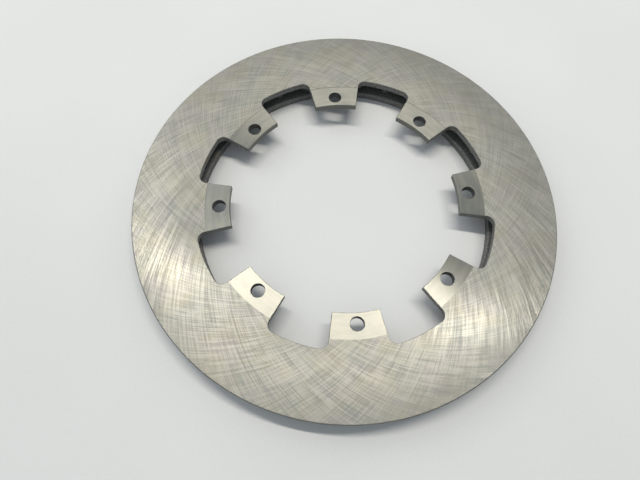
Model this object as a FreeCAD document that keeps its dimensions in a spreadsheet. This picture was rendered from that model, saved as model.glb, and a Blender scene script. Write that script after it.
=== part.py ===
"""Vented brake disc rotor with eight bolt lugs inside its rim.

The rotor is an iron casting: two flat friction rings held apart by straight radial vanes,
with eight flat lugs that reach inwards from the mount-side ring and carry the bolt circle.
Each feature is a solid of its own, and they meet face to face.

Frame: millimetres, Z is the spin axis and points out of the mount side, the origin is on the
axis at the far friction face, and the first bolt hole is on +X.
"""
import FreeCAD
import Part

import math
import os

import Sketcher

DIMENSIONS = [
    ("ring_diameter", 298.45, "outside diameter, 11.75 in"),
    ("total_thickness", 20.574, "over both friction faces, 0.810 in"),
    ("plate_thickness", 5.7, "each friction ring"),
    ("window_diameter", 212.0, "circle through the outer edges of the windows"),
    ("window_corner_radius", 5.5, "where a window's outer edge meets a lug"),
    ("lug_count", 8, "lugs, windows and bolt holes"),
    ("lug_half_angle", 11.0, "degrees from a lug's centre line to its side"),
    ("lug_tip_diameter", 163.2, "bore that the lug tips are turned to"),
    ("pad_diameter", 197.6, "where the turned lug pads meet the ground face"),
    ("pad_recess", 0.25, "lug pads below the friction face"),
    ("bolt_circle_diameter", 177.8, "7.00 in"),
    ("bolt_hole_diameter", 9.525, "3/8 in"),
    ("bolt_hole_chamfer", 0.15, "both rims of a bolt hole"),
    ("rim_chamfer", 0.75, "outer edge of each friction face"),
    ("edge_break", 0.25, "machined edges of the windows and lugs"),
    ("cast_edge_radius", 1.0, "cast edges that face the vent passage"),
    ("vane_count", 32, "straight radial vanes"),
    ("vane_start_radius", 112.0, "inner end of a vane"),
    ("vane_end_radius", 147.6, "outer end of a vane"),
    ("vane_thickness", 4.8, "across a vane's flat sides"),
    ("vane_root_radius", 1.2, "fillet where a vane meets a ring"),
    ("vane_foot_land", 0.1, "flat left outside the root fillet"),
    ("vane_foot_height", 0.25, "edge of the vane's foot"),
]

RING_RADIUS = "Dims.ring_diameter / 2"
WINDOW_RADIUS = "Dims.window_diameter / 2"
PAD_RADIUS = "Dims.pad_diameter / 2"
TIP_RADIUS = "Dims.lug_tip_diameter / 2"
LUG_THICKNESS = "Dims.plate_thickness - Dims.pad_recess"
MOUNT_PLATE_HEIGHT = "Dims.total_thickness - Dims.plate_thickness"
VENT_GAP = "Dims.total_thickness - 2 * Dims.plate_thickness"
FOOT_OFFSET = "(Dims.vane_root_radius + Dims.vane_foot_land)"

# The number of a sketch's own X axis, which starts at its origin, and the codes of a
# curve's points in a constraint.
X_AXIS = -1
START, END, CENTRE = 1, 2, 3
UP = FreeCAD.Vector(0, 0, 1)
TOLERANCE = 1e-4


def make_sheet(doc):
    """The driving dimensions, one row each: name, value and meaning."""
    sheet = doc.addObject("Spreadsheet::Sheet", "Dims")
    for row, (alias, value, meaning) in enumerate(DIMENSIONS, start=1):
        sheet.set(f"A{row}", alias)
        sheet.set(f"B{row}", str(value))
        sheet.set(f"C{row}", meaning)
        sheet.setAlias(f"B{row}", alias)
    doc.recompute()
    return sheet


def make_body(doc, label):
    body = doc.addObject("PartDesign::Body", label)
    body.Label = label
    return body


def place(body, height, turn="0"):
    """Bind the body's height and its turn about Z, in degrees, to the sheet."""
    body.Placement = FreeCAD.Placement(FreeCAD.Vector(), FreeCAD.Rotation(UP, 0))
    body.setExpression("Placement.Base.z", height)
    body.setExpression("Placement.Rotation.Angle", f"({turn}) * 1 deg")


def origin_feature(body, role):
    return next(item for item in body.Origin.OriginFeatures if item.Role == role)


def make_sketch(body, name):
    """An empty sketch on the body's own XY plane."""
    sketch = body.newObject("Sketcher::SketchObject", name)
    sketch.AttachmentSupport = [(origin_feature(body, "XY_Plane"), "")]
    sketch.MapMode = "FlatFace"
    return sketch


def bind(sketch, constraint, name, expression):
    """Add a named constraint and bind its value to the sheet."""
    index = sketch.addConstraint(constraint)
    sketch.renameConstraint(index, name)
    sketch.setExpression(f"Constraints.{name}", expression)


def polar(radius, angle):
    return FreeCAD.Vector(radius * math.cos(angle), radius * math.sin(angle), 0)


def add_circle(sketch, name, centre_x, radius, radius_expression, centre_expression=None):
    """A circle on the sketch's X axis, or on its origin when no centre is bound."""
    circle = sketch.addGeometry(Part.Circle(FreeCAD.Vector(centre_x, 0, 0), UP, radius), False)
    if centre_expression is None:
        sketch.addConstraint(Sketcher.Constraint("Coincident", circle, CENTRE, X_AXIS, START))
    else:
        sketch.addConstraint(Sketcher.Constraint("PointOnObject", circle, CENTRE, X_AXIS))
        distance = Sketcher.Constraint("DistanceX", X_AXIS, START, circle, CENTRE, centre_x)
        bind(sketch, distance, f"{name}_centre", centre_expression)
    bind(sketch, Sketcher.Constraint("Radius", circle, radius), f"{name}_radius", radius_expression)


def add_centred_arc(sketch, name, radius, low, high, expression):
    """An arc about the origin from angle low to angle high."""
    circle = Part.Circle(FreeCAD.Vector(), UP, radius)
    arc = sketch.addGeometry(Part.ArcOfCircle(circle, low, high), False)
    sketch.addConstraint(Sketcher.Constraint("Coincident", arc, CENTRE, X_AXIS, START))
    bind(sketch, Sketcher.Constraint("Radius", arc, radius), f"{name}_radius", expression)
    return arc


def add_radial_line(sketch, name, inner, outer, angle, expression):
    """A straight side that points away from the origin, at a bound angle to the X axis."""
    line = sketch.addGeometry(Part.LineSegment(polar(inner, angle), polar(outer, angle)), False)
    sketch.addConstraint(Sketcher.Constraint("PointOnObject", X_AXIS, START, line))
    bind(sketch, Sketcher.Constraint("Angle", line, angle), f"{name}_angle", expression)
    return line


def join(sketch, first, first_point, second, second_point):
    sketch.addConstraint(Sketcher.Constraint("Coincident", first, first_point, second, second_point))


def join_tangent(sketch, first, first_point, second, second_point):
    sketch.addConstraint(Sketcher.Constraint("Tangent", first, first_point, second, second_point))


def add_lug_outline(sketch, dims):
    """A sector between the tip bore and the pad edge, centred on the X axis."""
    inner = dims.lug_tip_diameter / 2
    outer = dims.pad_diameter / 2
    half = math.radians(dims.lug_half_angle)
    tip = add_centred_arc(sketch, "tip", inner, -half, half, TIP_RADIUS)
    root = add_centred_arc(sketch, "root", outer, -half, half, PAD_RADIUS)
    low = add_radial_line(sketch, "low_side", inner, outer, -half, "-Dims.lug_half_angle * 1 deg")
    high = add_radial_line(sketch, "high_side", inner, outer, half, "Dims.lug_half_angle * 1 deg")
    join(sketch, tip, START, low, START)
    join(sketch, tip, END, high, START)
    join(sketch, root, START, low, END)
    join(sketch, root, END, high, END)


def add_window_outline(sketch, dims):
    """The opening between two lugs. It runs inwards past the ring's bore, so the bore edge
    between the lugs is cut away and only the rounded outer corners and the sides remain."""
    outer = dims.window_diameter / 2
    inner = dims.lug_tip_diameter / 2
    corner = dims.window_corner_radius
    low = math.radians(dims.lug_half_angle)
    high = math.radians(360 / dims.lug_count - dims.lug_half_angle)
    corner_distance = outer - corner
    corner_angle = math.asin(corner / corner_distance)
    side_end = math.sqrt(corner_distance ** 2 - corner ** 2)

    far_edge = add_centred_arc(
        sketch, "far_edge", outer, low + corner_angle, high - corner_angle, WINDOW_RADIUS
    )
    near_edge = add_centred_arc(sketch, "near_edge", inner, low, high, TIP_RADIUS)
    low_side = add_radial_line(
        sketch, "low_side", inner, side_end, low, "Dims.lug_half_angle * 1 deg"
    )
    high_side = add_radial_line(
        sketch, "high_side", inner, side_end, high,
        "(360 / Dims.lug_count - Dims.lug_half_angle) * 1 deg",
    )
    low_circle = Part.Circle(polar(corner_distance, low + corner_angle), UP, corner)
    low_corner = sketch.addGeometry(
        Part.ArcOfCircle(low_circle, low - math.pi / 2, low + corner_angle), False
    )
    high_circle = Part.Circle(polar(corner_distance, high - corner_angle), UP, corner)
    high_corner = sketch.addGeometry(
        Part.ArcOfCircle(high_circle, high - corner_angle, high + math.pi / 2), False
    )
    join(sketch, near_edge, START, low_side, START)
    join(sketch, near_edge, END, high_side, START)
    join_tangent(sketch, low_side, END, low_corner, START)
    join_tangent(sketch, low_corner, END, far_edge, START)
    join_tangent(sketch, far_edge, END, high_corner, START)
    join_tangent(sketch, high_corner, END, high_side, END)
    bind(
        sketch, Sketcher.Constraint("Radius", low_corner, corner),
        "corner_radius", "Dims.window_corner_radius",
    )
    sketch.addConstraint(Sketcher.Constraint("Equal", low_corner, high_corner))


def add_vane_outline(sketch, dims, offset, offset_expression):
    """A straight slot along X with round ends, grown outwards by the offset."""
    half = dims.vane_thickness / 2 + offset
    start = dims.vane_start_radius + dims.vane_thickness / 2
    end = dims.vane_end_radius - dims.vane_thickness / 2
    left_circle = Part.Circle(FreeCAD.Vector(start, 0, 0), UP, half)
    right_circle = Part.Circle(FreeCAD.Vector(end, 0, 0), UP, half)
    left = sketch.addGeometry(Part.ArcOfCircle(left_circle, math.pi / 2, 3 * math.pi / 2), False)
    right = sketch.addGeometry(Part.ArcOfCircle(right_circle, -math.pi / 2, math.pi / 2), False)
    bottom = sketch.addGeometry(
        Part.LineSegment(FreeCAD.Vector(start, -half, 0), FreeCAD.Vector(end, -half, 0)), False
    )
    top = sketch.addGeometry(
        Part.LineSegment(FreeCAD.Vector(end, half, 0), FreeCAD.Vector(start, half, 0)), False
    )
    join_tangent(sketch, left, END, bottom, START)
    join_tangent(sketch, bottom, END, right, START)
    join_tangent(sketch, right, END, top, START)
    join_tangent(sketch, top, END, left, START)
    sketch.addConstraint(Sketcher.Constraint("PointOnObject", left, CENTRE, X_AXIS))
    sketch.addConstraint(Sketcher.Constraint("PointOnObject", right, CENTRE, X_AXIS))
    sketch.addConstraint(Sketcher.Constraint("Equal", left, right))
    bind(
        sketch, Sketcher.Constraint("Radius", left, half),
        "half_thickness", f"Dims.vane_thickness / 2 + {offset_expression}",
    )
    bind(
        sketch, Sketcher.Constraint("DistanceX", X_AXIS, START, left, CENTRE, start),
        "start", "Dims.vane_start_radius + Dims.vane_thickness / 2",
    )
    bind(
        sketch, Sketcher.Constraint("DistanceX", X_AXIS, START, right, CENTRE, end),
        "end", "Dims.vane_end_radius - Dims.vane_thickness / 2",
    )


def add_pad(body, sketch, name, length):
    pad = body.newObject("PartDesign::Pad", name)
    pad.Profile = sketch
    pad.setExpression("Length", length)
    return pad


def add_window_pockets(doc, body, dims):
    """Cut one window up through the ring, then repeat it round the axis."""
    sketch = make_sketch(body, f"{body.Name}_window_sketch")
    add_window_outline(sketch, dims)
    doc.recompute()
    volume_before = body.Shape.Volume
    pocket = body.newObject("PartDesign::Pocket", f"{body.Name}_window")
    pocket.Profile = sketch
    pocket.Type = "ThroughAll"
    pocket.Reversed = True
    pattern = body.newObject("PartDesign::PolarPattern", f"{body.Name}_windows")
    pattern.Originals = [pocket]
    pattern.Axis = (origin_feature(body, "Z_Axis"), [""])
    pattern.Angle = 360
    pattern.setExpression("Occurrences", "Dims.lug_count")
    body.Tip = pattern
    doc.recompute()
    one_window = volume_before - pocket.Shape.Volume
    all_windows = volume_before - pattern.Shape.Volume
    if one_window <= 0 or abs(all_windows / one_window - dims.lug_count) > TOLERANCE:
        raise RuntimeError(f"{body.Label}: the windows cut {all_windows:.1f} cubic mm")


def add_edge_feature(doc, body, kind, name, size, wanted):
    """Chamfer or fillet the body's edges that wanted() accepts, with its size bound."""
    doc.recompute()
    base = body.Tip
    names = [f"Edge{number}" for number, edge in enumerate(base.Shape.Edges, 1) if wanted(edge)]
    if not names:
        raise RuntimeError(f"{body.Label}: no edge for {name}")
    feature = body.newObject(f"PartDesign::{kind}", f"{body.Name}_{name}")
    feature.Base = (base, names)
    feature.setExpression("Radius" if kind == "Fillet" else "Size", size)
    body.Tip = feature
    return feature


def at_height(edge, height):
    """True for an edge that lies flat at the given height in its body."""
    box = edge.BoundBox
    return abs(box.ZMin - height) < TOLERANCE and abs(box.ZMax - height) < TOLERANCE


def is_centred_arc(edge, radius):
    """True for an arc of the given radius about the spin axis."""
    if not isinstance(edge.Curve, Part.Circle):
        return False
    on_axis = math.hypot(edge.Curve.Center.x, edge.Curve.Center.y) < TOLERANCE
    return on_axis and abs(edge.Curve.Radius - radius) < TOLERANCE


def is_chamfer_edge(edge, dims):
    """True for the circle where a friction face meets the chamfer of its rim."""
    return is_centred_arc(edge, dims.ring_diameter / 2 - dims.rim_chamfer)


def build_mount_side_ring(doc, dims):
    """Friction ring with the lug roots: a washer with eight windows cut into its bore."""
    body = make_body(doc, "mount_side_friction_ring")
    place(body, MOUNT_PLATE_HEIGHT)
    sketch = make_sketch(body, "mount_ring_sketch")
    add_circle(sketch, "rim", 0, dims.ring_diameter / 2, RING_RADIUS)
    add_circle(sketch, "bore", 0, dims.pad_diameter / 2, PAD_RADIUS)
    add_pad(body, sketch, "mount_ring_pad", "Dims.plate_thickness")
    add_window_pockets(doc, body, dims)

    top = dims.plate_thickness
    rim = dims.ring_diameter / 2
    bore = dims.pad_diameter / 2

    def is_rim(edge):
        return at_height(edge, top) and is_centred_arc(edge, rim)

    def is_window_edge(edge, height):
        plain = is_centred_arc(edge, rim) or is_centred_arc(edge, bore)
        return at_height(edge, height) and not plain

    add_edge_feature(doc, body, "Chamfer", "rim_chamfer", "Dims.rim_chamfer", is_rim)
    add_edge_feature(
        doc, body, "Chamfer", "window_break", "Dims.edge_break",
        lambda edge: is_window_edge(edge, top) and not is_chamfer_edge(edge, dims),
    )
    add_edge_feature(
        doc, body, "Fillet", "window_cast_edge", "Dims.cast_edge_radius",
        lambda edge: is_window_edge(edge, 0),
    )
    return body


def build_far_side_ring(doc, dims):
    """The second friction ring, a plain washer: its bore is the windows' outer circle."""
    body = make_body(doc, "far_side_friction_ring")
    place(body, "0")
    sketch = make_sketch(body, "far_ring_sketch")
    add_circle(sketch, "rim", 0, dims.ring_diameter / 2, RING_RADIUS)
    add_circle(sketch, "bore", 0, dims.window_diameter / 2, WINDOW_RADIUS)
    add_pad(body, sketch, "far_ring_pad", "Dims.plate_thickness")
    top = dims.plate_thickness
    rim = dims.ring_diameter / 2
    bore = dims.window_diameter / 2
    add_edge_feature(
        doc, body, "Chamfer", "rim_chamfer", "Dims.rim_chamfer",
        lambda edge: at_height(edge, 0) and is_centred_arc(edge, rim),
    )
    add_edge_feature(
        doc, body, "Chamfer", "bore_break", "Dims.edge_break",
        lambda edge: at_height(edge, 0) and is_centred_arc(edge, bore),
    )
    add_edge_feature(
        doc, body, "Fillet", "bore_cast_edge", "Dims.cast_edge_radius",
        lambda edge: at_height(edge, top) and is_centred_arc(edge, bore),
    )
    return body


def build_lug(doc, dims, number):
    """One mounting lug: a flat sector with a bolt hole, level with the inside of its ring."""
    body = make_body(doc, f"mounting_lug_{number}")
    place(body, MOUNT_PLATE_HEIGHT, f"360 / Dims.lug_count * {number - 1}")
    outline = make_sketch(body, f"lug_{number}_sketch")
    add_lug_outline(outline, dims)
    add_pad(body, outline, f"lug_{number}_pad", LUG_THICKNESS)

    centre = make_sketch(body, f"lug_{number}_hole_sketch")
    add_circle(
        centre, "hole", dims.bolt_circle_diameter / 2, dims.bolt_hole_diameter / 2,
        "Dims.bolt_hole_diameter / 2", "Dims.bolt_circle_diameter / 2",
    )
    doc.recompute()
    volume_before = body.Shape.Volume
    hole = body.newObject("PartDesign::Hole", f"lug_{number}_hole")
    hole.Profile = centre
    hole.DepthType = "ThroughAll"
    hole.Reversed = True
    hole.setExpression("Diameter", "Dims.bolt_hole_diameter")
    body.Tip = hole
    doc.recompute()
    if body.Shape.Volume >= volume_before:
        raise RuntimeError(f"{body.Label}: the bolt hole cuts nothing")

    top = dims.plate_thickness - dims.pad_recess
    root = dims.pad_diameter / 2

    def is_hole_edge(edge):
        about_hole = isinstance(edge.Curve, Part.Circle)
        return about_hole and abs(edge.Curve.Center.x - dims.bolt_circle_diameter / 2) < TOLERANCE

    def is_hole_rim(edge):
        return is_hole_edge(edge) and (at_height(edge, top) or at_height(edge, 0))

    def is_outline(edge, height):
        return at_height(edge, height) and not is_hole_edge(edge) and not is_centred_arc(edge, root)

    add_edge_feature(
        doc, body, "Chamfer", "hole_chamfer", "Dims.bolt_hole_chamfer", is_hole_rim
    )
    add_edge_feature(
        doc, body, "Chamfer", "outline_break", "Dims.edge_break",
        lambda edge: is_outline(edge, top),
    )
    add_edge_feature(
        doc, body, "Fillet", "cast_edge", "Dims.cast_edge_radius",
        lambda edge: is_outline(edge, 0),
    )
    return body


def build_vane(doc, dims, number):
    """One cooling vane: a straight rib with round ends and a filleted foot at each ring."""
    body = make_body(doc, f"cooling_vane_{number:02d}")
    place(body, "Dims.total_thickness / 2", f"360 / Dims.vane_count * {number - 1}")
    wall = make_sketch(body, f"vane_{number}_sketch")
    add_vane_outline(wall, dims, 0, "0")
    pad = add_pad(body, wall, f"vane_{number}_pad", VENT_GAP)
    pad.SideType = "Symmetric"

    foot_sketch = make_sketch(body, f"vane_{number}_foot_sketch")
    foot_sketch.setExpression(".AttachmentOffset.Base.z", f"-({VENT_GAP}) / 2")
    offset = dims.vane_root_radius + dims.vane_foot_land
    add_vane_outline(foot_sketch, dims, offset, FOOT_OFFSET)
    foot = add_pad(body, foot_sketch, f"vane_{number}_foot", "Dims.vane_foot_height")
    feet = body.newObject("PartDesign::Mirrored", f"vane_{number}_feet")
    feet.Originals = [foot]
    feet.MirrorPlane = (origin_feature(body, "XY_Plane"), [""])
    body.Tip = feet
    doc.recompute()

    gap = dims.total_thickness - 2 * dims.plate_thickness
    step = gap / 2 - dims.vane_foot_height
    side = dims.vane_thickness / 2

    def is_root(edge):
        flat = at_height(edge, step) or at_height(edge, -step)
        return flat and edge.BoundBox.YMax < side + TOLERANCE and edge.BoundBox.YMin > -side - TOLERANCE

    add_edge_feature(doc, body, "Fillet", "root", "Dims.vane_root_radius", is_root)
    return body


def check(doc, bodies):
    """Stop on any failed object, loose sketch or bad solid."""
    for item in doc.Objects:
        if "Invalid" in item.State or "Error" in item.State:
            raise RuntimeError(f"{item.Label}: {item.State}")
        if item.TypeId == "Sketcher::SketchObject" and not item.FullyConstrained:
            raise RuntimeError(f"{item.Label}: not fully constrained")
    for body in bodies:
        if body.Shape.isNull() or not body.Shape.isValid() or len(body.Shape.Solids) != 1:
            raise RuntimeError(f"{body.Label}: not one valid solid")


def main():
    doc = FreeCAD.newDocument("brake_disc_rotor")
    dims = make_sheet(doc)
    bodies = [build_mount_side_ring(doc, dims), build_far_side_ring(doc, dims)]
    bodies += [build_lug(doc, dims, number) for number in range(1, int(dims.lug_count) + 1)]
    bodies += [build_vane(doc, dims, number) for number in range(1, int(dims.vane_count) + 1)]
    doc.recompute()
    check(doc, bodies)

    os.makedirs("parts", exist_ok=True)
    for body in bodies:
        body.Shape.exportStep(f"parts/{body.Label}.step")
    print(f"{len(bodies)} solids written")


main()
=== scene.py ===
"""Looks of the vented brake disc rotor: bare ground, turned and cast iron on a sheet of paper.

The light is one long ceiling tube and a weak window at the far left, in a dim cool room. Every
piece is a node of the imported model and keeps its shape. This script gives each surface its finish,
then adds the camera, the lights, the room and the paper. Lengths are metres in the model's frame:
Z is the spin axis, and the friction face with the lugs is the upper one.
"""

import math

import bpy
from mathutils import Euler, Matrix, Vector


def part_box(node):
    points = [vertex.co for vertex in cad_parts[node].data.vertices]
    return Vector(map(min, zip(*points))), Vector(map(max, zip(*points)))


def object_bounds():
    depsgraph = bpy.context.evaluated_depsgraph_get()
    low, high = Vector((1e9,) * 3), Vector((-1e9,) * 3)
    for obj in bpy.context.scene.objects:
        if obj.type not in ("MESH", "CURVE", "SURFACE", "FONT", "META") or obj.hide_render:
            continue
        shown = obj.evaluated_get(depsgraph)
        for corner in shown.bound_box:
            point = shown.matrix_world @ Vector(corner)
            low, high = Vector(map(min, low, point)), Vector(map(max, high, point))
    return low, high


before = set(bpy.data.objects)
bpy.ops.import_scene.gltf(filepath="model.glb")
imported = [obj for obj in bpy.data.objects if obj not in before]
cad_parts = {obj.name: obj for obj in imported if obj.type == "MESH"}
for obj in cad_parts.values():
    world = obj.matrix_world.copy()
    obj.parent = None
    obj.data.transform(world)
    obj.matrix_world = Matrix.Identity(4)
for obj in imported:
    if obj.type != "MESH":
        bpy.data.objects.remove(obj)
bpy.context.view_layer.update()
CAD_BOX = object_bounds()

MM = 0.001
RINGS = ("mount_side_friction_ring", "far_side_friction_ring")
LUGS = tuple(sorted(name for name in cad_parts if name.startswith("mounting_lug_")))
VANES = tuple(sorted(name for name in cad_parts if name.startswith("cooling_vane_")))

RIM_RADIUS = CAD_BOX[1].x
TOP = CAD_BOX[1].z
LUG_LOW, LUG_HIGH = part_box(LUGS[0])
PAD_TOP = LUG_HIGH.z
# A lug's tip is an arc about the spin axis, so its ends have a smaller x than its middle.
TIP_SAG = 1.1 * MM
TIP_RADIUS = LUG_LOW.x + TIP_SAG

# The face grinder: a cup wheel of this radius runs with its centre off the spin axis, so each grain
# leaves an arc. The first pass and the second, with its own offset, leave arcs that cross.
WHEEL_RADIUS = 160 * MM
FIRST_OFFSET = 107 * MM
SECOND_OFFSET = 85 * MM

# How far each finish reaches in from a face, the rim or a lug's tip, and how far it then fades.
FACE_REACH, FACE_FADE = 1.0 * MM, 0.2 * MM
EDGE_REACH, EDGE_FADE = 0.30 * MM, 0.04 * MM
RIM_REACH, RIM_FADE = 0.9 * MM, 0.1 * MM
TIP_REACH, TIP_FADE = 0.5 * MM, 0.2 * MM
PAD_REACH, PAD_FADE = 0.4 * MM, 0.1 * MM
# How level a surface is where it starts to count as flat, and where it fully does. 1 is level.
RING_FLATNESS = (0.93, 0.97)
PAD_FLATNESS = (0.3, 0.5)
# How far off a lug's middle a wall stops counting as its bore, in steps from lug to lug.
BORE_SIDE = (0.11, 0.09)

# Noise patterns: how many waves a metre has, how many finer layers there are, and their strength.
GRINDING_STREAKS = (1250, 1, 0.7)
GRINDING_BANDS = (170, 2, 0.6)
FACE_CLOUDS = (38, 4, 0.6)
FACE_BLOTCHES = (110, 3, 0.55)
MAUVE_PATCHES = (57, 3, 0.5)
PITTED_AREAS = (60, 2, 0.5)
SCRATCHED_AREAS = (22, 2, 0.5)
TURNING_LINES = (2500, 2, 0.5)
PAD_LINES = (1800, 3, 0.7)
PAD_BANDS = (60, 3, 0.6)
PAD_CLOUDS = (90, 3, 0.6)
CAST_GRAIN = (900, 3, 0.6)
CAST_LUMPS = (160, 2, 0.5)
CAST_PATCHES = (45, 3, 0.6)
PAPER_GRAIN = (500, 4, 0.6)
PAPER_TONE = (6, 2, 0.5)
# The stretch of a noise's values, about 0.5, that a change of tone or roughness runs over.
SHORT_SPAN = (0.35, 0.65)
LONG_SPAN = (0.3, 0.7)
GRAIN_SPAN = (0.35, 0.7)
RUST_SPAN, RUST_SHARE = (0.56, 0.74), 0.4
MAUVE_SPAN, MAUVE_SHARE = (0.48, 0.62), 0.8
PITTED_SPAN = (0.52, 0.56)
SCRATCHED_SPAN = (0.53, 0.58)
# The crossing streaks are about 0 instead.
STREAK_SPAN, BRIGHT_SHARE = (-0.16, 0.16), 0.58
METAL_SPAN = (-0.18, 0.18)

# How much the fine streaks and the broad bands of a pass count in its tone, and in its lead over
# the other pass.
STREAK_TONE, BAND_TONE = 0.85, 0.10
STREAK_LEAD, BAND_LEAD = 1.25, 0.12
# How fast the pattern changes along an arc, for each metre of radius.
ARC_CHANGE = 0.05
# How much of the stain a pit and a scratch take on.
PIT_STAIN, SCRATCH_STAIN = 0.8, 0.55

# Scattered points: how many a metre has, and the distances at which a mark begins and is full, as
# shares of their spacing.
PITS_PER_METRE, PIT_SIZE = 150, (0.055, 0.035)
SCRATCHES_PER_METRE, SCRATCH_SIZE = 260, (0.06, 0.035)
# The scratches' three directions, in radians, and the layer that each one's points come from.
SCRATCH_SETS = ((0.35, 0.0), (1.95, 0.3), (2.75, 0.7))
SCRATCH_STRETCH = 0.02

# Roughness where the noise is low and where it is high.
GROUND_ROUGHNESS = (0.245, 0.23)
EDGE_ROUGHNESS = (0.42, 0.52)
PAD_ROUGHNESS = (0.29, 0.31)
CAST_ROUGHNESS = (0.72, 0.55)
PAPER_ROUGHNESS = 0.85

GROUND_METALLIC = (0.145, 0.25)
EDGE_METALLIC = 0.5
PAD_METALLIC = 0.85
CAST_METALLIC = 0.45
GROUND_SPECULAR = 0.1
# How strongly the grooves of each finish draw a highlight out across them.
FACE_GROOVES = 0.93
EDGE_GROOVES = 0.6
PAD_GROOVES = 0.92
# The ground face shines less near the windows than near the rim.
SHINE_RADII = (100 * MM, 142 * MM)
SHINE_SHARES = (0.48, 1.30)
# The outer part of the face gets painted shade, the more so towards +X.
SHADE_RADII = (112 * MM, 166 * MM)
SHADE_SIDE = 0.15
SHADE_SHARE = 0.54
# The share of the face's colour on a broken edge, and of BORE_SHADE, the painted shade, in a bore.
BROKEN_EDGE_SHARE = 0.75
BORE_SHADE_SHARE = 0.75

# Relief is this deep where a height is 1. The heights below are shares of it.
RELIEF = 0.25 * MM
PAPER_RELIEF = 0.05 * MM
STREAK_HEIGHT = 0.014
MARK_DEPTH = 0.3
TURNING_HEIGHT = 0.06
PAD_LINE_HEIGHT = 0.04

WARM_IRON = (0.272, 0.256, 0.204)
COOL_IRON = (0.228, 0.232, 0.208)
MAUVE_IRON = (0.259, 0.243, 0.229)
BRIGHT_IRON = (0.465, 0.450, 0.383)
TURNED_IRON = (0.247, 0.240, 0.204)
TURNED_BRIGHT = (0.314, 0.306, 0.262)
TURNED_COOL = (0.215, 0.214, 0.192)
# Dull iron of the turned edges, and also the painted shade on the outer +X side of the ground face.
DULL_IRON_AND_SHADE = (0.15, 0.15, 0.14)
TIP_DARK = (0.095, 0.098, 0.088)
TIP_LIGHT = (0.165, 0.168, 0.152)
# Painted shade for the inside of the bolt bores.
BORE_SHADE = (0.035, 0.037, 0.036)
STAIN = (0.16, 0.145, 0.115)
CAST_SKIN = (0.14, 0.143, 0.136)
CAST_GREY = (0.25, 0.252, 0.238)
RUST = (0.20, 0.125, 0.08)
PAPER_GREY = (0.605, 0.608, 0.60)
PAPER_WHITE = (0.637, 0.64, 0.632)
HORIZON = (0.23, 0.25, 0.27)
OVERHEAD = (0.375, 0.42, 0.465)
WALL = (0.62, 0.66, 0.70)
WINDOW_SIDE = (0.80, 0.84, 0.88)
# Where the wall, the window side and both of their lower edges begin and are full, as directions.
WALL_SPAN = (0.45, 0.70)
WINDOW_SPAN, WINDOW_SHARE = (0.15, -0.35), 0.50
RAISED_SPAN = (0.25, 0.5)

UP = (0.0, 0.0, 1.0)

LENS_MM = 26.007
SENSOR_MM = 36.0
CAMERA_PLACE = (-0.03264, -0.14661, 0.31398)
CAMERA_DEGREES = (21.7714, -0.93, -3.9195)

TUBE_SIZES = (1.84, 0.10)
TUBE_WATTS = 46.0
TUBE_COLOUR = (1.0, 0.960, 0.88)
TUBE_PLACE = (0.13, 0.495, 2.3)
TUBE_DEGREES = (19.0, 0.0, -15.0)

WINDOW_SIZES = (0.9, 0.9)
WINDOW_WATTS = 4.5
WINDOW_COLOUR = (0.93, 0.97, 1.0)
WINDOW_PLACE = (-0.95, 0.75, 1.2)

PAPER_HALF = 4.0
PAPER_DROP = 0.02 * MM


class Wire:
    """A number that flows between nodes. Arithmetic on it adds Math nodes."""

    def __init__(self, graph, socket):
        self.graph = graph
        self.socket = socket

    def __add__(self, other):
        return self.graph.math("ADD", self, other)

    def __sub__(self, other):
        return self.graph.math("SUBTRACT", self, other)

    def __rsub__(self, other):
        return self.graph.math("SUBTRACT", other, self)

    def __mul__(self, other):
        return self.graph.math("MULTIPLY", self, other)

    def __truediv__(self, other):
        return self.graph.math("DIVIDE", self, other)

    def __rtruediv__(self, other):
        return self.graph.math("DIVIDE", other, self)

    __radd__ = __add__


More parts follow.
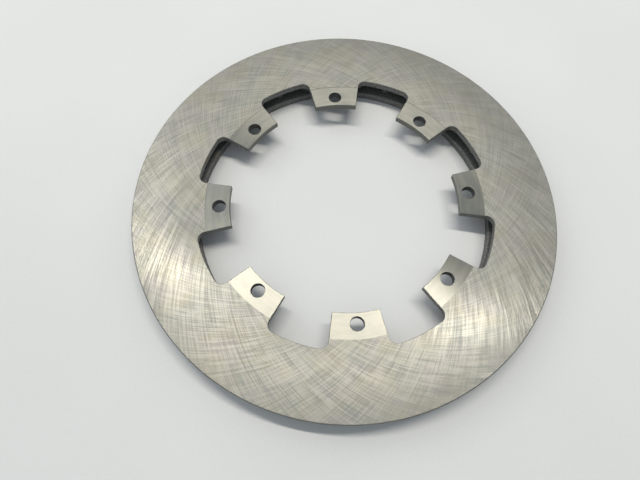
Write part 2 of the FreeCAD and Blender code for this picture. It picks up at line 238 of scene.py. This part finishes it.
class Graph:
    """A node tree, with short names for the nodes used here."""

    def __init__(self, tree):
        self.tree = tree
        tree.nodes.clear()

    def node(self, kind, inputs=(), **settings):
        made = self.tree.nodes.new(kind)
        for key, value in settings.items():
            setattr(made, key, value)
        for key, value in dict(inputs).items():
            self.feed(made.inputs[key], value)
        return made

    def feed(self, socket, value):
        if isinstance(value, Wire):
            self.tree.links.new(value.socket, socket)
        elif isinstance(value, tuple) and socket.type == "RGBA":
            socket.default_value = (*value, 1.0)
        else:
            socket.default_value = value

    def math(self, operation, first, second=0.0):
        made = self.node("ShaderNodeMath", {0: first, 1: second}, operation=operation)
        return Wire(self, made.outputs[0])

    def root(self, value):
        return self.math("SQRT", self.math("MAXIMUM", value, 0.0))

    def size(self, value):
        return self.math("ABSOLUTE", value)

    def both(self, first, second):
        return self.math("MINIMUM", first, second)

    def either(self, first, second):
        return self.math("MAXIMUM", first, second)

    def ramp(self, value, low, high, start=0.0, end=1.0):
        """Goes smoothly from start at low to end at high, and stays there beyond them."""
        inputs = {"Value": value, "From Min": low, "From Max": high, "To Min": start, "To Max": end}
        made = self.node("ShaderNodeMapRange", inputs, interpolation_type="SMOOTHSTEP")
        return Wire(self, made.outputs["Result"])

    def vector(self, x, y, z):
        return Wire(self, self.node("ShaderNodeCombineXYZ", {0: x, 1: y, 2: z}).outputs[0])

    def parts(self, vector):
        made = self.node("ShaderNodeSeparateXYZ", {0: vector})
        return [Wire(self, socket) for socket in made.outputs]

    def noise(self, vector, scale, detail, roughness):
        inputs = {"Vector": vector, "Scale": scale, "Detail": detail, "Roughness": roughness}
        made = self.node("ShaderNodeTexNoise", inputs)
        return Wire(self, made.outputs["Fac"])

    def cells(self, vector, scale):
        """Distance to the nearest of many scattered points."""
        made = self.node("ShaderNodeTexVoronoi", {"Vector": vector, "Scale": scale})
        return Wire(self, made.outputs["Distance"])

    def dice(self, vector):
        """A number from 0 to 1 that differs at every point: a mix too fine to see."""
        return Wire(self, self.node("ShaderNodeTexWhiteNoise", {"Vector": vector}).outputs["Value"])

    def blend(self, factor, first, second, kind="RGBA"):
        """A mix, of colours unless kind says otherwise: first at factor 0, second at factor 1."""
        made = self.node("ShaderNodeMix", data_type=kind)
        sockets = {socket.name: socket for socket in made.inputs if socket.enabled}
        for key, value in {"Factor": factor, "A": first, "B": second}.items():
            self.feed(sockets[key], value)
        return Wire(self, next(socket for socket in made.outputs if socket.enabled))

    def blend_vector(self, factor, first, second):
        """A direction: first where factor is 0, second where it is 1."""
        return self.blend(factor, first, second, "VECTOR")

    def bump(self, height, depth):
        """A normal that follows height, where a height of 1 stands for depth metres."""
        made = self.node("ShaderNodeBump", {"Height": height, "Distance": depth, "Strength": 1.0})
        return Wire(self, made.outputs["Normal"])

    def finish(self, **inputs):
        """One Principled shader as the surface. An input's name has _ for a space."""
        named = {key.replace("_", " "): value for key, value in inputs.items()}
        shader = self.node("ShaderNodeBsdfPrincipled", named)
        output = self.node("ShaderNodeOutputMaterial")
        self.tree.links.new(shader.outputs["BSDF"], output.inputs["Surface"])


def new_material(name):
    """An empty material and the graph of its nodes."""
    material = bpy.data.materials.new(name)
    material.use_nodes = True
    return material, Graph(material.node_tree)


class Place:
    """Where a point of the rotor is, and how level its surface is there."""

    def __init__(self, graph):
        coordinates = graph.node("ShaderNodeTexCoord")
        self.point = Wire(graph, coordinates.outputs["Object"])
        self.x, self.y, self.z = graph.parts(self.point)
        self.radius = graph.root(self.x * self.x + self.y * self.y)
        self.level = graph.size(graph.parts(Wire(graph, coordinates.outputs["Normal"]))[2])


def arc_centre(graph, place, offset, side):
    """Centre of the wheel when its rim runs over this point, for one of the two passes."""
    square = place.radius * place.radius
    along = (square + (offset ** 2 - WHEEL_RADIUS ** 2)) / (square * 2)
    across = graph.root(offset ** 2 / square - along * along) * side
    centre_x = place.x * along + place.y * across
    centre_y = place.y * along - place.x * across
    return centre_x, centre_y


def arc_set(graph, place, offset, side):
    """One pass of grinding arcs: coordinates that streaks follow, and the direction across them."""
    centre_x, centre_y = arc_centre(graph, place, offset, side)
    across = graph.vector(place.x - centre_x, place.y - centre_y, 0.0)
    # The centre is the same all along an arc. The radius isn't, so no streak runs its whole length.
    flow = graph.vector(centre_x, centre_y, place.radius * ARC_CHANGE)
    return flow, across


def grinding(graph, place):
    """Tone of the crossing streaks, about 0, and the direction across the pass that leads here."""
    first_flow, first_across = arc_set(graph, place, FIRST_OFFSET, 1.0)
    second_flow, second_across = arc_set(graph, place, SECOND_OFFSET, -1.0)
    first_streaks = graph.noise(first_flow, *GRINDING_STREAKS)
    second_streaks = graph.noise(second_flow, *GRINDING_STREAKS)
    first_bands = graph.noise(first_flow, *GRINDING_BANDS)
    second_bands = graph.noise(second_flow, *GRINDING_BANDS)
    streaks = (first_streaks + second_streaks - 1.0) * STREAK_TONE
    streaks = streaks + (first_bands + second_bands - 1.0) * BAND_TONE
    lead = (first_streaks - second_streaks) * STREAK_LEAD
    lead = lead + (first_bands - second_bands) * BAND_LEAD
    first_leads = graph.math("GREATER_THAN", lead + graph.dice(place.point), 0.5)
    return streaks, graph.blend_vector(first_leads, second_across, first_across)


def cast_finish(graph, place):
    """Colour, roughness and height of the sand-cast skin."""
    grain = graph.noise(place.point, *CAST_GRAIN)
    lumps = graph.noise(place.point, *CAST_LUMPS)
    patches = graph.noise(place.point, *CAST_PATCHES)
    colour = graph.blend(graph.ramp(grain, *GRAIN_SPAN), CAST_SKIN, CAST_GREY)
    rusty = graph.ramp(patches, *RUST_SPAN, 0.0, RUST_SHARE)
    colour = graph.blend(rusty, colour, RUST)
    height = grain * 0.6 + lumps * 0.4
    return colour, graph.ramp(grain, *LONG_SPAN, *CAST_ROUGHNESS), height


def scratches(graph, place):
    """A few thin handling marks, each a scattered point drawn out into a line."""
    marks = 0.0
    for turn, origin in SCRATCH_SETS:
        along = place.x * math.cos(turn) + place.y * math.sin(turn)
        across = place.y * math.cos(turn) - place.x * math.sin(turn)
        points = graph.vector(along * SCRATCH_STRETCH, across, origin)
        line = graph.ramp(graph.cells(points, SCRATCHES_PER_METRE), *SCRATCH_SIZE)
        marks = graph.either(line, marks)
    scratched = graph.ramp(graph.noise(place.point, *SCRATCHED_AREAS), *SCRATCHED_SPAN)
    return graph.both(marks, scratched)


def face_marks(graph, place):
    """Pits in some areas, and scratches, as the share of stain that each leaves."""
    pits = graph.ramp(graph.cells(place.point, PITS_PER_METRE), *PIT_SIZE)
    pitted = graph.ramp(graph.noise(place.point, *PITTED_AREAS), *PITTED_SPAN)
    pits = graph.both(pits, pitted)
    return graph.either(pits * PIT_STAIN, scratches(graph, place) * SCRATCH_STAIN)


def near_faces(graph, place, reach, fade):
    """1 within reach of the upper or the lower friction face, and 0 once faded."""
    return graph.either(
        graph.ramp(place.z, TOP - reach - fade, TOP - reach),
        graph.ramp(place.z, reach + fade, reach),
    )


def ring_zones(graph, place):
    """Shares of the ground faces, of the broken edges about them and of all machined metal."""
    flat = graph.ramp(place.level, *RING_FLATNESS)
    face = graph.both(flat, near_faces(graph, place, FACE_REACH, FACE_FADE))
    rim_start = RIM_RADIUS - RIM_REACH
    rim = graph.ramp(place.radius, rim_start - RIM_FADE, rim_start)
    broken_edge = graph.both(near_faces(graph, place, EDGE_REACH, EDGE_FADE), 1.0 - flat)
    machined = graph.either(face, graph.either(rim, broken_edge))
    return face, broken_edge, machined


def ground_colour(graph, place, streaks, clouds, blotches, marks):
    """Colour of a ground face: warm, cool and mauve iron, bright streaks, painted shade on the outer
    +X side, and marks.
    """
    colour = graph.blend(graph.ramp(clouds, *SHORT_SPAN), COOL_IRON, WARM_IRON)
    mauve = graph.noise(place.point, *MAUVE_PATCHES)
    mauve = graph.ramp(mauve, *MAUVE_SPAN, 0.0, MAUVE_SHARE)
    colour = graph.blend(mauve, colour, MAUVE_IRON)
    shade = graph.ramp(streaks + (blotches - 0.5) * 0.25, *STREAK_SPAN, 0.0, BRIGHT_SHARE)
    colour = graph.blend(shade, colour, BRIGHT_IRON)
    # Painted shade: the outer face is darkened towards dull iron, more so towards +X, in patches.
    reach = place.radius + place.x * SHADE_SIDE
    side_shade = graph.ramp(reach, *SHADE_RADII, 0.0, SHADE_SHARE)
    colour = graph.blend(side_shade * graph.ramp(clouds, 0.30, 0.60, 0.5, 1.0), colour, DULL_IRON_AND_SHADE)
    return graph.blend(marks, colour, STAIN)


def ground_iron():
    """Friction rings: faces ground in crossing arcs, turned rims, cast walls inside."""
    material, graph = new_material("ground_iron")
    place = Place(graph)
    face, broken_edge, machined = ring_zones(graph, place)
    streaks, across = grinding(graph, place)
    clouds = graph.noise(place.point, *FACE_CLOUDS)
    blotches = graph.noise(place.point, *FACE_BLOTCHES)
    marks = face_marks(graph, place)
    turning = graph.noise(graph.vector(place.radius, place.z, 0.0), *TURNING_LINES)
    cast_colour, cast_roughness, cast_height = cast_finish(graph, place)

    colour = ground_colour(graph, place, streaks, clouds, blotches, marks)
    edge_colour = graph.blend(graph.ramp(turning, *SHORT_SPAN), DULL_IRON_AND_SHADE, CAST_GREY)
    colour = graph.blend(graph.either(face, broken_edge * BROKEN_EDGE_SHARE), edge_colour, colour)
    colour = graph.blend(machined, cast_colour, colour)

    edge_roughness = graph.ramp(turning, *LONG_SPAN, *EDGE_ROUGHNESS)
    roughness = graph.ramp(blotches + streaks * 0.5, *LONG_SPAN, *GROUND_ROUGHNESS)
    roughness = roughness * face + (1.0 - face) * edge_roughness
    roughness = roughness * machined + cast_roughness * (1.0 - machined)

    height = streaks * STREAK_HEIGHT * face - marks * MARK_DEPTH * face
    height = height + turning * TURNING_HEIGHT * (machined - face) + cast_height * (1.0 - machined)

    metallic = graph.ramp(streaks + (clouds - 0.5) * 0.3, *METAL_SPAN, *GROUND_METALLIC)
    metallic = metallic * graph.ramp(place.radius, *SHINE_RADII, *SHINE_SHARES)

    graph.finish(
        Base_Color=colour,
        Metallic=metallic * face + (1.0 - face) * EDGE_METALLIC,
        Specular_IOR_Level=GROUND_SPECULAR,
        Roughness=roughness,
        Anisotropic=graph.both(machined, EDGE_GROOVES + face * (FACE_GROOVES - EDGE_GROOVES)),
        Tangent=graph.blend_vector(face, UP, across),
        Normal=graph.bump(height, RELIEF),
    )
    return material


def lug_zones(graph, place):
    """Shares of the pad on top, of all machined metal and of the bore for the bolt, whose walls get
    painted shade.
    """
    pad_start = PAD_TOP - PAD_REACH
    top = graph.both(
        graph.ramp(place.level, *PAD_FLATNESS), graph.ramp(place.z, pad_start - PAD_FADE, pad_start)
    )
    tip_end = TIP_RADIUS + TIP_REACH
    tip = graph.ramp(place.radius, tip_end + TIP_FADE, tip_end)
    machined = graph.either(top, tip)
    turn = graph.math("ARCTAN2", place.y, place.x) * (len(LUGS) / math.tau)
    off_centre = graph.size(turn - graph.math("ROUND", turn))
    bore_shade = graph.both(1.0 - machined, graph.ramp(off_centre, *BORE_SIDE))
    return top, machined, bore_shade


def turned_iron():
    """Lugs: pads and tips turned about the axis, drilled holes with painted shade, cast sides and
    back.
    """
    material, graph = new_material("turned_iron")
    place = Place(graph)
    top, machined, bore_shade = lug_zones(graph, place)
    lines = graph.noise(graph.vector(place.radius, place.z, 0.0), *PAD_LINES)
    # The radius counts most here, so that the bands run about the spin axis.
    bands = graph.noise(graph.vector(place.radius * 6, place.x, place.y), *PAD_BANDS)
    clouds = graph.noise(place.point, *PAD_CLOUDS)
    cast_colour, cast_roughness, cast_height = cast_finish(graph, place)

    colour = graph.blend(graph.ramp(clouds, *LONG_SPAN), TURNED_COOL, TURNED_IRON)
    shade = graph.ramp(lines * 0.5 + bands * 0.5, *SHORT_SPAN, 0.0, 0.5)
    colour = graph.blend(shade, colour, TURNED_BRIGHT)
    tip_colour = graph.blend(graph.ramp(lines, *SHORT_SPAN), TIP_DARK, TIP_LIGHT)
    colour = graph.blend(top, tip_colour, colour)
    # Painted shade: the bore's walls are darkened towards near black.
    cast_colour = graph.blend(bore_shade * BORE_SHADE_SHARE, cast_colour, BORE_SHADE)
    colour = graph.blend(machined, cast_colour, colour)

    roughness = graph.ramp(bands, *LONG_SPAN, *PAD_ROUGHNESS)
    roughness = roughness * machined + cast_roughness * (1.0 - machined)
    height = lines * PAD_LINE_HEIGHT * machined + cast_height * (1.0 - machined)
    outward = graph.vector(place.x, place.y, 0.0)
    graph.finish(
        Base_Color=colour,
        Metallic=graph.ramp(top, 0.0, 1.0, CAST_METALLIC, PAD_METALLIC),
        Roughness=roughness,
        Anisotropic=machined * PAD_GROOVES,
        Tangent=graph.blend_vector(top, UP, outward),
        Normal=graph.bump(height, RELIEF),
    )
    return material


def cast_iron():
    """Vanes: sand-cast skin all over."""
    material, graph = new_material("cast_iron")
    colour, roughness, height = cast_finish(graph, Place(graph))
    graph.finish(
        Base_Color=colour,
        Metallic=CAST_METALLIC,
        Roughness=roughness,
        Normal=graph.bump(height, RELIEF),
    )
    return material


def paper():
    """The sheet that the rotor lies on: pale, with a fine grain and slow changes of tone."""
    material, graph = new_material("paper")
    point = Wire(graph, graph.node("ShaderNodeTexCoord").outputs["Object"])
    grain = graph.noise(point, *PAPER_GRAIN)
    tone = graph.noise(point, *PAPER_TONE)
    shade = graph.ramp(grain * 0.4 + tone * 0.6, *LONG_SPAN)
    graph.finish(
        Base_Color=graph.blend(shade, PAPER_GREY, PAPER_WHITE),
        Roughness=PAPER_ROUGHNESS,
        Normal=graph.bump(grain, PAPER_RELIEF),
    )
    return material


def dress(names, material):
    """Give the material to CAD nodes."""
    for name in names:
        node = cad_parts[name]
        node.data.materials.clear()
        node.data.materials.append(material)


def from_degrees(angles):
    return Euler([math.radians(angle) for angle in angles])


def add_to_scene(name, data):
    """A new object with this data, linked into the scene."""
    made = bpy.data.objects.new(name, data)
    bpy.context.scene.collection.objects.link(made)
    return made


def add_camera():
    """Wide lens close above the near edge of the rotor, looking down and a little ahead."""
    data = bpy.data.cameras.new("camera")
    data.lens = LENS_MM
    data.sensor_width = SENSOR_MM
    data.clip_start = 10 * MM
    camera = add_to_scene("camera", data)
    camera.location = CAMERA_PLACE
    camera.rotation_euler = from_degrees(CAMERA_DEGREES)
    bpy.context.scene.camera = camera


def add_area_light(name, sizes, watts, colour, place, rotation):
    data = bpy.data.lights.new(name, "AREA")
    data.shape = "RECTANGLE"
    data.size, data.size_y = sizes
    data.energy = watts
    data.color = colour
    light = add_to_scene(name, data)
    light.location = place
    light.rotation_euler = rotation


def add_tube_light():
    """One long ceiling tube beyond the far rim. Its length sets where the grinding arcs shine."""
    rotation = from_degrees(TUBE_DEGREES)
    add_area_light("tube", TUBE_SIZES, TUBE_WATTS, TUBE_COLOUR, TUBE_PLACE, rotation)


def add_window_light():
    """A weak cool light at the far left, near enough to fade across the paper."""
    rotation = (-Vector(WINDOW_PLACE)).to_track_quat("-Z", "Y").to_euler()
    add_area_light("window", WINDOW_SIZES, WINDOW_WATTS, WINDOW_COLOUR, WINDOW_PLACE, rotation)


def add_world():
    """A dim cool room, lighter overhead, with a pale wall beyond the far rim and a pale -X side."""
    world = bpy.data.worlds.new("studio")
    bpy.context.scene.world = world
    world.use_nodes = True
    graph = Graph(world.node_tree)
    direction = Wire(graph, graph.node("ShaderNodeTexCoord").outputs["Generated"])
    x, y, z = graph.parts(direction)
    colour = graph.blend(graph.ramp(z, 0.0, 1.0), HORIZON, OVERHEAD)
    raised = graph.ramp(z, *RAISED_SPAN)
    wall = graph.both(graph.ramp(y, *WALL_SPAN), raised)
    colour = graph.blend(wall, colour, WALL)
    window_side = graph.both(graph.ramp(x, *WINDOW_SPAN, 0.0, WINDOW_SHARE), raised)
    colour = graph.blend(window_side, colour, WINDOW_SIDE)
    background = graph.node("ShaderNodeBackground", {"Color": colour, "Strength": 1.0})
    output = graph.node("ShaderNodeOutputWorld")
    graph.tree.links.new(background.outputs["Background"], output.inputs["Surface"])


def add_floor():
    """The sheet of paper, just below the rotor so that the two faces don't meet."""
    mesh = bpy.data.meshes.new("floor")
    half = PAPER_HALF
    corners = [(-half, -half, 0), (half, -half, 0), (half, half, 0), (-half, half, 0)]
    mesh.from_pydata(corners, [], [(0, 1, 2, 3)])
    mesh.materials.append(paper())
    floor = add_to_scene("floor", mesh)
    floor.location.z = -PAPER_DROP


add_camera()
dress(RINGS, ground_iron())
dress(LUGS, turned_iron())
dress(VANES, cast_iron())
add_tube_light()
add_window_light()
add_world()
add_floor()
bpy.context.scene.view_settings.view_transform = "Standard"

bpy.context.view_layer.update()
